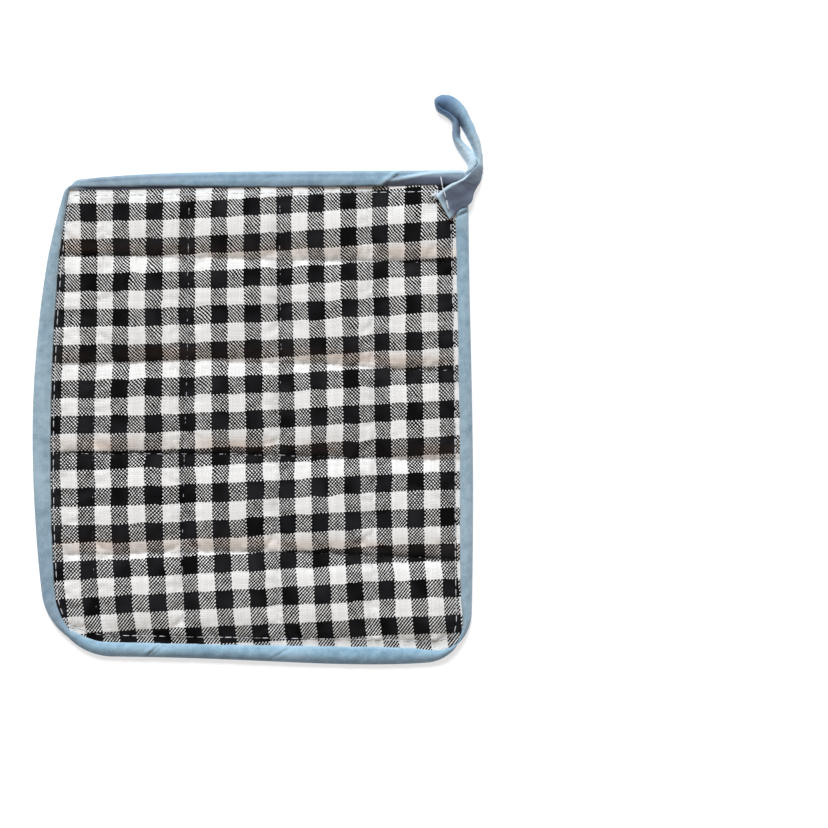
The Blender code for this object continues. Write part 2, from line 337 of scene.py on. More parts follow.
rise = WADDING_LIFT * rise / np.sqrt(1 + (WADDING_LIFT * rise / PUFF_LIMIT) ** 2)
rim = np.isin(pad_across, across_marks[[0, -1]]) | np.isin(pad_down, down_marks[[0, -1]])
back_height = SEAM_BOTTOM - rise * BACK_SHARE
back_height = (back_height + np.sqrt(back_height ** 2 + BACK_PRESSED)) / 2
front_points = np.column_stack([pad_x, pad_y, np.where(rim, (SEAM_TOP + SEAM_BOTTOM) / 2, SEAM_TOP + rise)])
back_points = np.column_stack([pad_x, pad_y, back_height])[~rim]
back_numbers = front_numbers.copy().ravel()
back_numbers[~rim] = len(front_points) + np.arange(len(back_points))
back_numbers = back_numbers.reshape(front_numbers.shape)
check_uv = np.column_stack([check_numbers(CHECK_COLUMNS, COLUMN_ENDS, flat_x, flat_y),
                            check_numbers(CHECK_ROWS, ROW_ENDS, flat_y, flat_x)])
pad = new_object("quilted_pad", np.vstack([front_points, back_points]),
                 np.vstack([grid_faces(front_numbers)[:, ::-1], grid_faces(back_numbers)]),
                 np.vstack([check_uv, check_uv[~rim]]))
above_seam = pad_y - line_places(LINES_ACROSS, pad_across)[2:-2]
unevenly = 0.85 + 0.3 * soft_noise(pad_x, pad_y, 9, 9, 18)
# The fold just above each seam across is painted darker, as painted shade in its crease.
crease_shade_depth = np.clip(line_places(CREASE_SHADE, pad_across), 0, 1) * unevenly
painted_crease_shade = (crease_shade_depth * np.exp(-((above_seam - CREASE_SHADE_AT[0]) / CREASE_SHADE_AT[1]) ** 2)).sum(axis=0)
# The slope just above each seam across is painted a warm shade, as painted shade.
painted_warm_shade = np.exp(-((above_seam - WARM_SHADE_AT[0]) / WARM_SHADE_AT[1]) ** 2).sum(axis=0) \
    * np.clip(0.55 + 0.5 * soft_noise(pad_x, pad_y, 17, 17, 17), 0, 0.9)
set_measure(pad, "painted_crease_shade", np.concatenate([painted_crease_shade, painted_crease_shade[~rim]]))
set_measure(pad, "painted_warm_shade", np.concatenate([painted_warm_shade, painted_warm_shade[~rim]]))


class Wire:
    """A socket of a material's nodes. Sums on wires add Math nodes, so a finish reads as an expression."""

    def __init__(self, tree, socket=None):
        self.tree = tree
        self.socket = socket

    def node(self, kind, settings=None, inputs=None, output=0):
        """A new node: its settings first, then the values or wires of its sockets."""
        made = self.tree.nodes.new(kind)
        for name, value in (settings or {}).items():
            setattr(made, name, value)
        for key, value in (inputs or {}).items():
            if isinstance(value, Wire):
                self.tree.links.new(value.socket, made.inputs[key])
            else:
                made.inputs[key].default_value = value
        return Wire(self.tree, made.outputs[output])

    def maths(self, operation, *values):
        return self.node("ShaderNodeMath", {"operation": operation}, dict(enumerate((self, *values))))

    def part(self, number):
        """The first, second or third number of a vector."""
        return self.node("ShaderNodeSeparateXYZ", {}, {0: self}, number)

    def beside(self, other):
        """A vector of this number and another."""
        return self.node("ShaderNodeCombineXYZ", {}, {0: self, 1: other})

    def noise(self, scale, detail=2.0, flat=False):
        """Soft noise over a vector, from 0 to 1."""
        return self.node("ShaderNodeTexNoise", {"noise_dimensions": "2D" if flat else "3D"},
                         {"Vector": self, "Scale": scale, "Detail": detail})

    def blend(self, low, high):
        """The colour that lies between two others, at this share."""
        colours = {key: colour if isinstance(colour, Wire) else (*colour, 1)
                   for key, colour in ((6, low), (7, high))}
        return self.node("ShaderNodeMix", {"data_type": "RGBA"}, {0: self, **colours}, 2)

    def into(self, shader, name):
        self.tree.links.new(self.socket, shader.inputs[name])

    def __add__(self, other):
        return self.maths("ADD", other)

    def __sub__(self, other):
        return self.maths("SUBTRACT", other)

    def __rsub__(self, other):
        return self.node("ShaderNodeMath", {"operation": "SUBTRACT"}, {0: other, 1: self})

    def __mul__(self, other):
        return self.maths("MULTIPLY", other)

    def __mod__(self, other):
        return self.maths("FLOORED_MODULO", other)

    def __lt__(self, other):
        return self.maths("LESS_THAN", other)

    __radd__ = __add__
    __rmul__ = __mul__


def new_finish(name, roughness, specular):
    """A material, its shader, and a wire that can start its nodes."""
    material = bpy.data.materials.new(name)
    material.use_nodes = True
    shader = material.node_tree.nodes["Principled BSDF"]
    shader.inputs["Roughness"].default_value = roughness
    shader.inputs["Specular IOR Level"].default_value = specular
    return material, shader, Wire(material.node_tree)


gingham, gingham_shader, gingham_nodes = new_finish("gingham", 0.92, 0.06)
weave = gingham_nodes.node("ShaderNodeUVMap", {"uv_map": "weave"})
waver = weave.noise(3.0, flat=True) - 0.5
warp_place = weave.part(0) * THREADS + waver * 1.2
weft_place = weave.part(1) * THREADS - waver
warp_number = warp_place.maths("FLOOR")
weft_number = weft_place.maths("FLOOR")
warp_white = (warp_number + THREADS / 4) % THREADS < THREADS / 2
weft_white = (weft_number + THREADS / 4) % THREADS < THREADS / 2
# A mixed square shows slanting lines, that lean one way near the top and the other way near the bottom.
slant = (weave.part(1) - 4).maths("MAXIMUM", 0) * 0.05 + waver * 0.3 + 0.30
rising = ((warp_place - weft_place) * math.pi).maths("COSINE")
falling = ((warp_place + weft_place) * math.pi).maths("COSINE")
warp_slub = (warp_number * 7.37).beside(weft_place * 0.17).noise(1.0, 1.0, flat=True)
weft_slub = (warp_place * 0.17).beside(weft_number * 7.37).noise(1.0, 1.0, flat=True)
over_by = rising * (1 - slant) - falling * slant + (warp_slub - weft_slub) * 0.5
warp_over = (warp_white - weft_white) * BLACK_YARN_GAIN < over_by
white = warp_over * warp_white + (1 - warp_over) * weft_white
warp_shade = warp_number.node("ShaderNodeTexWhiteNoise", {"noise_dimensions": "1D"}, {"W": warp_number})
weft_shade = weft_number.node("ShaderNodeTexWhiteNoise", {"noise_dimensions": "1D"},
                              {"W": weft_number + 500.5})
shade = warp_over * warp_shade + (1 - warp_over) * weft_shade
from_warp_middle = (warp_place - warp_number) * 2 - 1
from_weft_middle = (weft_place - weft_number) * 2 - 1
warp_round = from_warp_middle * from_warp_middle
weft_round = from_weft_middle * from_weft_middle
warp_falls = warp_round * 0.65 + weft_round * 0.3
weft_falls = weft_round * 0.65 + warp_round * 0.3
crown = 1 - warp_over * warp_falls - (1 - warp_over) * weft_falls
fibres = weave.node("ShaderNodeTexCoord", output=3).noise(2600.0, 3.0)
# Each yarn is painted darker toward its edges, as painted shade between the threads, over its random tone and
# fibres.
tone_and_thread_shade = shade * 0.16 + fibres * 0.2 + crown * 0.22 + 0.58
patchy = weave.noise(1.1, 1.0, flat=True) * 2.4 - 0.75
# Black yarn is lighter in random patches.
patchy_black = patchy.maths("MAXIMUM", 0).blend((0.0038, 0.0038, 0.0044), (0.0165, 0.0170, 0.0195))
warm_shade = gingham_nodes.node("ShaderNodeAttribute", {"attribute_name": "painted_warm_shade"}, output=2)
crease = gingham_nodes.node("ShaderNodeAttribute", {"attribute_name": "painted_crease_shade"}, output=2)
# White and black yarn turn warmer on the slopes above the seams, as painted shade.
warm_shaded_white = warm_shade.blend((0.868, 0.869, 0.868), (0.775, 0.665, 0.595))
warm_shaded_black = warm_shade.blend(patchy_black, (0.0225, 0.0150, 0.0125))
yarn = white.blend(warm_shaded_black, warm_shaded_white)
# The crease's painted shade darkens the yarn here.
shaded_yarn = {0: yarn, "Scale": tone_and_thread_shade * (1 - crease * 0.82)}
weave.node("ShaderNodeVectorMath", {"operation": "SCALE"}, shaded_yarn).into(gingham_shader, "Base Color")
weave.node("ShaderNodeBump", {}, {"Strength": 0.5, "Distance": 0.00012, "Height": crown + fibres * 0.4}).into(
    gingham_shader, "Normal")
pad.data.materials.append(gingham)
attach(pad, "root")
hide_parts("pad")

# ---------------------------------------------------------------------------------------------------
# The quilting: running stitches in grey cotton thread, four lines down the pad and four across, sewn through
# both cloths and the wadding. Some lines are drawn deeper into the cloth than others.
# ---------------------------------------------------------------------------------------------------
THREAD_THICK = 0.45
STITCH = (4.1, 5.7)         # a stitch's length, and from one to the next
SEAM_SUNK = (0.25, 0.0, 0.1, 0.22, 0.15, 0.22, 0.0, 0.15)   # how deep each line lies: four down, four across
STITCH_LIFT = 0.16          # stitches stand this far out of the cloth where they aren't drawn in


def beads(middle, heading, length, thick, bow):
    """Short bowed threads, each a six-sided tube of six rings that narrows to its closed ends."""
    ring = np.linspace(-1, 1, 6)[:, None]
    around = np.arange(6) * np.pi / 3
    girth = thick / 2 * np.sqrt(1 - (ring * 0.93) ** 4)
    along = (ring + 0 * around).ravel() / 2 * np.broadcast_to(length, len(middle))[:, None]
    side = np.tile((girth * np.cos(around)).ravel(), (len(middle), 1))
    lift = (girth * np.sin(around) + bow * (0.5 - ring ** 2)).ravel()
    points = np.stack([middle[:, :1] + heading[:, :1] * along - heading[:, 1:2] * side,
                       middle[:, 1:2] + heading[:, 1:2] * along + heading[:, :1] * side,
                       middle[:, 2:] + lift], axis=-1).reshape(-1, 3)
    place = np.arange(6)
    beside = (place + 1) % 6
    step = np.arange(5)[:, None] * 6
    sides = np.stack([step + place, step + beside, step + 6 + beside, step + 6 + place], axis=-1)
    ends = np.array([[3, 2, 1, 0], [0, 5, 4, 3], [30, 31, 32, 33], [33, 34, 35, 30]])
    first = np.arange(len(middle))[:, None, None] * 36
    return points, (first + np.vstack([sides.reshape(-1, 4), ends])).reshape(-1, 4)


def stitched(name, lines, bow, stitch, finish, thick=THREAD_THICK):
    """One piece of running stitches along lines of x, y and height, evenly spaced but for small slips."""
    length, pitch = stitch
    middles, headings = [], []
    for line in lines:
        travelled = np.concatenate([[0], np.cumsum(np.hypot(np.diff(line[0]), np.diff(line[1])))])
        at = np.arange(pitch / 2, travelled[-1] - pitch / 2, pitch)
        at = at + np.random.default_rng(len(at)).uniform(-0.12, 0.12, len(at)) * pitch
        middles.append(np.column_stack([np.interp(at, travelled, part) for part in line]))
        ahead, behind = (np.column_stack([np.interp(at + step, travelled, part) for part in line[:2]])
                         for step in (pitch / 4, -pitch / 4))
        heading = ahead - behind
        headings.append(heading / np.linalg.norm(heading, axis=1)[:, None])
    made = new_object(name, *beads(np.vstack(middles), np.vstack(headings), length, thick, bow))
    made.data.materials.append(finish)
    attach(made, "root")
    return made


def seam_lines(surface, outwards):
    """Each quilting seam's line in the plan, at its stitches' height.

    Outwards is 1 on the front and -1 on the back.
    """
    along = np.linspace(0, 1, 700)
    sunk = iter(SEAM_SUNK)
    for lines, crossed in ((LINES_DOWN, LINES_ACROSS), (LINES_ACROSS, LINES_DOWN)):
        ends = line_shares(crossed)[[1, -2]]
        inside = along[(along > ends[0] + 0.008) & (along < ends[1] - 0.008)]
        for share in line_shares(lines)[2:-2]:
            at = (inside * 0 + share, inside) if lines is LINES_DOWN else (inside, inside * 0 + share)
            yield (*wandering(*at), inside * 0 + surface + outwards * (STITCH_LIFT - next(sunk)))


def thread_finish(name, dark, light):
    """Cotton thread, its colour uneven along its length between two."""
    finish, shader, nodes = new_finish(name, 0.75, 0.2)
    unevenness = nodes.node("ShaderNodeTexCoord", output=3).noise(900.0)
    unevenness.blend(dark, light).into(shader, "Base Color")
    bump = {"Strength": 0.4, "Distance": 0.0001, "Height": unevenness}
    nodes.node("ShaderNodeBump", {}, bump).into(shader, "Normal")
    return finish


grey_thread = thread_finish("grey thread", (0.22, 0.23, 0.26), (0.54, 0.55, 0.60))
stitched("quilting_front", seam_lines(SEAM_TOP, 1), 0.2, STITCH, grey_thread)
stitched("quilting_back", seam_lines(SEAM_BOTTOM, -1), -0.2, STITCH, grey_thread)

# ---------------------------------------------------------------------------------------------------
# The binding: a bias strip of plain blue cotton folded over the pad's raw edge and stitched down through
# both cloths. Its left end lies over its right end in a slanting join near the loop.
# ---------------------------------------------------------------------------------------------------
BINDING_SKIN = (
    # share of the width, height: from the front inner edge, over the fold, to the back inner edge
    (1.00, 3.35), (0.99, 3.95), (0.92, 4.4), (0.78, 4.8), (0.62, 5.0), (0.44, 4.8), (0.26, 4.25), (0.11, 3.4),
    (0.02, 2.5), (0.00, 1.8), (0.03, 1.1), (0.10, 0.4), (0.22, 0.02), (0.60, 0.0), (0.97, 0.0), (1.00, 0.3),
    (0.97, 0.7), (0.40, 0.8), (0.20, 1.2), (0.16, 2.2), (0.22, 3.0), (0.40, 3.5), (0.80, 3.3),
)
SKIN_STEPS = 66
SKIN_FRONT = 0.42           # this share of the skin's steps lies on the front
SIDE_STATIONS = 230
CORNER_NARROWED = 0.5       # the strip shows this much less of its width at the bottom right corner
CORNER_REACH = 14           # and this is how far from that corner the narrowing goes
LEDGE = (0.74, 0.97, 3.3)   # the top's upper layer ends at these shares, left and right; the ledge's height
JOIN = (59.5, 9.5)          # the top layer's end: x at the inner edge, and how much further at the outline
FOLD_WIDTH = 0.6            # a fold mark's trough, and its ridge beside it
FOLD_REACH = 5.5            # how far from its place a fold mark goes
FOLD_MARKS = {
    #                   x       y    heading  depth
    "bottom left":  (-46.4, -107.6,  37.0,   0.60),
    "beside it":    (-43.2, -107.2,  40.0,   0.35),
    "bottom right": (13.8, -107.7,   31.0,   0.50),
    "top":          (8.0,  110.6,    24.0,   0.15),
    "left":         (-97.5, 12.0,    70.0,   0.15),
    "right":        (98.4, -30.0,   105.0,   0.18),
    "under the loop": (97.2, 94.3,   27.0,   0.90),
}


def smooth_curve(rows, count, closed):
    """Points at even steps along the smooth curve through a table's rows, each piece of it a cubic."""
    rows = np.array(rows, dtype=float)
    ends = (rows[-1:], rows[:2]) if closed else (2 * rows[:1] - rows[1:2], 2 * rows[-1:] - rows[-2:-1])
    padded_rows = np.vstack([ends[0], rows, ends[1]])
    step = np.arange(count) * len(rows) / count if closed else np.linspace(0, len(rows) - 1, count)
    first = np.minimum(step.astype(int), len(padded_rows) - 4)
    part = (step - first)[:, None]
    before, here, there, after = (padded_rows[first + shift] for shift in range(4))
    slope = (there - before) / 2
    bend = before - 2.5 * here + 2 * there - 0.5 * after
    twist = 1.5 * here - 0.5 * before - 1.5 * there + 0.5 * after
    return here + part * slope + part ** 2 * bend + part ** 3 * twist


def raised(points, amount):
    """A tube's points moved out along its normals, which are the cross products of its two directions."""
    around = np.roll(points, -1, axis=1) - np.roll(points, 1, axis=1)
    normal = np.cross(np.gradient(points, axis=0), around)
    length = np.maximum(np.linalg.norm(normal, axis=-1, keepdims=True), 1e-9)
    return points + normal / length * amount[..., None]


def set_wear_and_painted_light(made, dullness, blueness):
    """Marks each point of the tape with two measures, of its wear and of painted light and shade.

    Dullness is -1 where the tape is pale, worn in places and a painted highlight in others, 1 where it is
    grey, with use in places and as painted shade in others, and 2 where it is near black, as a painted
    shadow. Blueness is 1 where the blue has faded little and where it is painted brighter as painted light,
    and 2 where it is deep, as painted shade.
    """
    set_measure(made, "dullness", dullness)
    set_measure(made, "blueness", blueness)


side = np.linspace(0, 1, SIDE_STATIONS + 1)[:-1]
side = (side + (1 - np.cos(side * np.pi)) / 2) / 2
around_across = np.concatenate([side, side * 0 + 1, 1 - side, side * 0])[:, None]
around_down = np.concatenate([side * 0, side, side * 0 + 1, 1 - side])[:, None]
skin_share, skin_height = smooth_curve(BINDING_SKIN, SKIN_STEPS, True).T
on_front = np.arange(SKIN_STEPS) < SKIN_STEPS * SKIN_FRONT
inner_left, inner_right = line_shares(LINES_DOWN)[[1, -2]]
inner_top, inner_bottom = line_shares(LINES_ACROSS)[[1, -2]]
from_corner = np.hypot((1 - around_across) * ROUGH_SIZE[0], (1 - around_down) * ROUGH_SIZE[1])
near_corner = np.exp(-(from_corner / CORNER_REACH) ** 2)
skin_share = skin_share * (1 - CORNER_NARROWED * near_corner)
ring_across = skin_share * inner_left + around_across * (1 - skin_share * (1 - inner_right + inner_left))
ring_down = skin_share * inner_top + around_down * (1 - skin_share * (1 - inner_bottom + inner_top))
ring_x, ring_y = (part.reshape(ring_across.shape) for part in in_plan(ring_across.ravel(), ring_down.ravel()))
upper = np.clip((skin_height - 2.5) / 1.5, 0, 1) * on_front
on_top = np.clip((ring_y - 101) / 6, 0, 1) * np.clip((ring_x + 82) / 6, 0, 1)
top_edge = upper * on_top
from_join = ring_x - JOIN[0] - (1 - skin_share) * JOIN[1]
past_join = np.clip(from_join / 0.8 + 0.5, 0, 1) * (ring_x > 40)
lifted_end = 1.3 * np.exp(np.minimum(from_join, 0) / 14) * (ring_x > 20)
past_start = ring_x - 66
ridge_light = np.exp(-((skin_share - np.clip(0.64 - 0.028 * past_start, 0.1, 0.64)) / 0.12) ** 2)
valley_dark = np.exp(-((skin_share - np.clip(0.62 - 0.016 * past_start, 0.2, 0.62) + 0.2) / 0.11) ** 2) \
    * np.clip(past_start / 4, 0, 1) * np.clip((96 - ring_x) / 8, 0, 1)
lying_lower = 0.8 * ridge_light - 0.7 * valley_dark - 0.5 * skin_share
flatter = 0.5 * np.exp(-((skin_share - 0.2) / 0.14) ** 2)
ring_height = skin_height + top_edge * (flatter + (1 - past_join) * lifted_end + past_join * lying_lower)
ledge_share = LEDGE[0] + (LEDGE[1] - LEDGE[0]) * np.clip((ring_x + 78) / 90, 0, 1) \
    + 0.03 * soft_noise(ring_x, ring_x * 0, 7, 7, 63)
ledge = top_edge * (1 - past_join) * np.clip((skin_share - ledge_share) / 0.04, 0, 1)
ring_height = ring_height + ledge * (LEDGE[2] - ring_height)
wrinkles = 0.20 * soft_noise(ring_x + 0.7 * ring_y, ring_x - ring_y, 11, 4.5, 60) \
    + 0.14 * soft_noise(ring_x, ring_y, 4.2, 4.2, 61) + 0.05 * soft_noise(ring_x, ring_y, 1.7, 1.7, 62)
wrinkles *= 1 - ledge
for mark_x, mark_y, heading, depth in FOLD_MARKS.values():
    turned = math.radians(heading)
    off_line = (ring_y - mark_y) * math.cos(turned) - (ring_x - mark_x) * math.sin(turned)
    near = np.exp(-(np.hypot(ring_x - mark_x, ring_y - mark_y) / FOLD_REACH) ** 2)
    ridge_beside = np.exp(-((off_line - 1.5 * FOLD_WIDTH) / FOLD_WIDTH) ** 2)
    wrinkles += near * depth * (ridge_beside - 1.5 * np.exp(-(off_line / FOLD_WIDTH) ** 2))
ring_points = raised(np.stack([ring_x, ring_y, ring_height], axis=-1), wrinkles * upper)
ring_points[..., 2] = np.maximum(ring_points[..., 2], 0)
station_length = np.concatenate([[0], np.cumsum(np.hypot(np.diff(ring_x[:, 0]), np.diff(ring_y[:, 0])))])
binding_numbers = np.pad(np.arange(ring_x.size).reshape(ring_x.shape), ((0, 1), (0, 1)), mode="wrap")
strip_uv = np.column_stack([np.repeat(station_length, SKIN_STEPS),
                            np.tile(np.arange(SKIN_STEPS) * 0.5, len(station_length))])
binding = new_object("bias_binding", ring_points.reshape(-1, 3),
                     grid_faces(binding_numbers)[:, ::-1], strip_uv)
inner_lip = np.exp(-((skin_share - 1) / 0.1) ** 2) * on_front * (1 - on_top)
outer_part = np.clip((0.5 - skin_share) / 0.3, 0, 1)
on_bottom = np.clip((-96 - ring_y) / 8, 0, 1)
low_left = np.clip((-30 - ring_y) / 50, 0, 1) * (ring_x < 0) * (1 - on_bottom)
# On the top side the strip is painted greyer, more on its outer half, as painted shade on the side that faces
# the light. The upper layer's fold and, past the join, the ridge are painted pale, as painted highlights, and
# the band under the ridge grey, as painted shade. The ledge under the upper layer's edge is painted near
# black, as a painted shadow.
fold_light = np.exp(-((from_join + 2.0) / 1.6) ** 2)
lower_painted_shade = 0.75 * np.clip((skin_share - 0.35) / 0.2, 0, 1) * np.clip((98 - ring_x) / 10, 0.35, 1)
top_painted_light_and_shade = (1 - past_join) * (0.25 + 0.20 * outer_part - 0.6 * fold_light) \
    + past_join * (0.30 + lower_painted_shade - 1.1 * ridge_light) + (1.3 + 0.5 * (ring_x < -10)) * ledge
# Past the join the valley is painted deep blue, as painted shade.
top_blueness = 0.65 * (1 - past_join) * np.clip((ring_x + 70) / 50, 0, 1) + 1.2 * past_join * valley_dark
high_right = np.clip(ring_y / 60, 0, 1) * (ring_x > 60) * (1 - on_top)
# The bottom side's outer half is painted greyer, as painted shade on the strip's roll.
bottom_painted_shade = on_bottom * (0.05 + 0.3 * outer_part)
# The bottom side is painted a brighter blue, as painted light; the lower left and the upper right differ in
# their own tone.
set_wear_and_painted_light(binding,
           top_edge * top_painted_light_and_shade + 0.32 * low_left + bottom_painted_shade - 0.3 * inner_lip,
           on_top * top_blueness + 0.80 * on_bottom + 0.35 * low_left + 0.3 * high_right)

tape, tape_shader, tape_nodes = new_finish("blue tape", 0.85, 0.2)
tape_place = tape_nodes.node("ShaderNodeTexCoord", output=3)
strip = tape_nodes.node("ShaderNodeUVMap", {"uv_map": "weave"})
dullness = tape_nodes.node("ShaderNodeAttribute", {"attribute_name": "dullness"}, output=2)
blueness = tape_nodes.node("ShaderNodeAttribute", {"attribute_name": "blueness"}, output=2)
TAPE_THREAD = 0.36
warp_way = (strip.part(0) + strip.part(1)) * (math.pi / TAPE_THREAD / math.sqrt(2))
weft_way = (strip.part(0) - strip.part(1)) * (math.pi / TAPE_THREAD / math.sqrt(2))
tape_weave = warp_way.maths("COSINE") * weft_way.maths("COSINE")
streaks = (warp_way * 0.9).beside(weft_way * 0.09).noise(1.0, 2.0, flat=True) \
    + (warp_way * 0.09).beside(weft_way * 0.9).noise(1.0, 2.0, flat=True)
blotches = tape_place.noise(60.0, 3.0) * 0.55 + tape_place.noise(330.0, 3.0) * 0.5
fading = blotches + streaks * 0.35 + tape_weave * 0.04
faded = ((fading - 0.60) * 2.4 + 0.1).maths("MAXIMUM", 0).maths("MINIMUM", 1)
greyish_blue = faded.blend((0.135, 0.240, 0.325), (0.350, 0.470, 0.560))
bright_blue = faded.blend((0.130, 0.285, 0.425), (0.350, 0.555, 0.715))
blue = blueness.blend(greyish_blue, bright_blue)
# Deep blue is painted shade. Pale is wear in places and a painted highlight in others; grey is grime in
# places and painted shade in others.
deep_blue = (blueness - 1).maths("MAXIMUM", 0).blend(blue, (0.036, 0.095, 0.235))
wear_and_highlight = (dullness * -1).maths("MAXIMUM", 0).blend(deep_blue, (0.57, 0.725, 0.84))
grey = dullness.maths("MAXIMUM", 0).blend(wear_and_highlight, (0.112, 0.138, 0.205))
# Near black is the painted shadow under the top binding's edge.
(dullness - 1).maths("MAXIMUM", 0).blend(grey, (0.012, 0.012, 0.028)).into(tape_shader, "Base Color")
tape_bump = {"Strength": 0.4, "Distance": 0.0001, "Height": tape_weave * 0.5 + streaks}
tape_nodes.node("ShaderNodeBump", {}, tape_bump).into(tape_shader, "Normal")
tape_shader.inputs["Sheen Weight"].default_value = 0.15
binding.data.materials.append(tape)
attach(binding, "root")
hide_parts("binding")

# ---------------------------------------------------------------------------------------------------
# The edge stitching: running stitches in pale cotton thread beside the binding, all the way round. They
# hold the pad's raw edge inside the folded strip and show on both faces.
# ---------------------------------------------------------------------------------------------------
EDGE_STITCH = (3.2, 4.3)
EDGE_LIFT = 0.14            # they stand this far out of the cloth

edge_share = np.linspace(0, 1, 300)[:-1]
edge_low, edge_high = edge_share * 0, edge_share * 0 + 1
left_line, right_line = across_marks[edge_across][[3, -4]]
top_line, bottom_line = down_marks[edge_down][[3, -4]]
round_across = np.concatenate([edge_share, edge_high, 1 - edge_share, edge_low])
round_down = np.concatenate([edge_low, edge_share, edge_high, 1 - edge_share])
edge_x, edge_y = wandering(left_line + round_across * (right_line - left_line),
                           top_line + round_down * (bottom_line - top_line))
pale_thread = thread_finish("pale thread", (0.42, 0.45, 0.50), (0.75, 0.78, 0.82))
for face, height, bow in (("front", SEAM_TOP + EDGE_LIFT, 0.2), ("back", SEAM_BOTTOM - EDGE_LIFT, -0.2)):
    stitched("edge_stitching_" + face, [(edge_x, edge_y, edge_x * 0 + height)], bow, EDGE_STITCH, pale_thread)

# ---------------------------------------------------------------------------------------------------
# The hanging loop: the binding strip runs on past the corner, folded lengthways, turns back on itself
# like a tent on its two edges, and its end, opened out wide, is sewn down over the corner.
# ---------------------------------------------------------------------------------------------------
LOOP = {
    # the strip's outer and inner edge, its crown, how dull it is painted, grey for grime and painted shade,
    # pale for wear and painted highlights, and how blue at each edge, deepest about the crest as painted
    # shade
    #                outer x      y   inner x      y   outer z  inner z  crown  share   dull   outer  inner
    "end":            (90.8,  91.2,   84.5, 102.3,   4.2, 6.0, 0.2, 0.60,  0.95, 0.0, 0.0),
    "over the pad":   (95.2,  95.2,   88.4, 105.3,   4.4, 7.2, 0.2, 0.65,  1.00, 0.0, 0.0),
    "corner":         (100.6, 98.8,   91.2, 107.2,   4.0, 7.8, 0.3, 0.65,  1.00, 0.0, 0.0),
    "bend":           (102.2, 103.4,  94.3, 108.4,   3.2, 7.8, 0.4, 0.70,  1.00, 0.0, 0.0),
    "edge":           (103.7, 106.4,  97.3, 110.0,   2.6, 7.6, 0.5, 0.70,  0.90, 0.0, 0.0),
    "off the edge":   (105.3, 109.5, 100.1, 112.7,   1.8, 7.0, 0.7, 0.60,  0.65, 0.0, 0.0),
    "twist":          (106.1, 114.5, 103.6, 116.3,   0.9, 5.4, 1.0, 0.50,  0.15, 0.0, 0.0),
    "outer low":      (106.1, 118.5, 103.2, 119.4,   0.3, 2.6, 2.2, 0.40, -0.45, 0.0, 0.0),
    "outer middle":   (105.7, 122.6, 102.2, 122.6,   0.2, 0.8, 3.4, 0.40, -0.50, 0.0, 0.0),
    "outer high":     (104.7, 127.6, 100.4, 126.9,   0.2, 0.3, 3.8, 0.40, -0.45, 0.0, 0.2),
    "outer bend":     (103.2, 132.0,  97.8, 131.6,   0.2, 0.2, 4.2, 0.40, -0.15, 0.4, 1.2),
    "shoulder":       (101.2, 136.9,  95.2, 135.6,   0.2, 0.2, 4.6, 0.40,  0.10, 0.5, 1.9),
    "upper shoulder": (98.6,  142.2,  93.2, 137.0,   0.2, 0.2, 4.8, 0.40,  0.20, 0.6, 2.0),
    "top":            (95.4,  146.2,  91.0, 137.9,   0.2, 0.2, 5.0, 0.40,  0.20, 1.1, 2.0),
    "crest":          (91.4,  148.6,  88.6, 139.4,   0.2, 0.2, 5.0, 0.40,  0.15, 1.5, 2.0),
    "past the crest": (87.4,  148.8,  86.8, 141.2,   0.2, 0.2, 4.8, 0.42,  0.10, 1.6, 2.0),
    "turn":           (84.2,  146.6,  86.3, 143.0,   0.2, 0.2, 4.2, 0.45,  0.10, 1.6, 1.9),
    "turned":         (85.0,  141.9,  88.3, 142.7,   0.2, 0.2, 3.4, 0.50,  0.10, 1.6, 1.9),
    "under the crest": (88.9, 139.1,  92.1, 141.0,   0.2, 0.2, 3.0, 0.50,  0.15, 1.5, 1.9),
    "inner high":     (91.9,  136.4,  95.2, 137.2,   0.2, 0.2, 3.0, 0.50,  0.45, 1.1, 1.9),
    "inner upper":    (92.3,  133.2,  95.6, 133.1,   0.2, 0.2, 3.4, 0.35,  0.65, 1.0, 1.8),
    "inner middle":   (92.3,  129.9,  95.7, 129.5,   0.2, 0.2, 3.6, 0.35,  0.45, 0.8, 1.6),
    "inner bend":     (93.2,  126.4,  97.3, 127.2,   0.2, 0.3, 3.2, 0.40, -0.35, 0.2, 0.5),
    "inner low":      (95.3,  122.4, 100.7, 124.0,   0.3, 0.4, 2.6, 0.50, -0.90, 0.1, 0.1),
    "fold":           (98.2,  118.6, 102.8, 121.0,   0.6, 0.8, 2.4, 0.50, -1.00, 0.0, 0.0),
    "notch":          (99.4,  115.2, 104.0, 117.4,   1.4, 1.6, 2.0, 0.45, -0.60, 0.0, 0.0),
    "root":           (97.6,  112.4, 102.2, 113.6,   2.4, 2.8, 1.0, 0.40,  0.10, 0.0, 0.0),
    "in the binding": (95.8,  110.0, 100.4, 110.6,   2.6, 2.6, 0.6, 0.40,  0.30, 0.0, 0.0),
}
LOOP_STATIONS = 320
LOOP_AROUND = 44
TAPE_THICK = 1.0
SEWN_END = 60               # the stations from the end over the pad to the twist

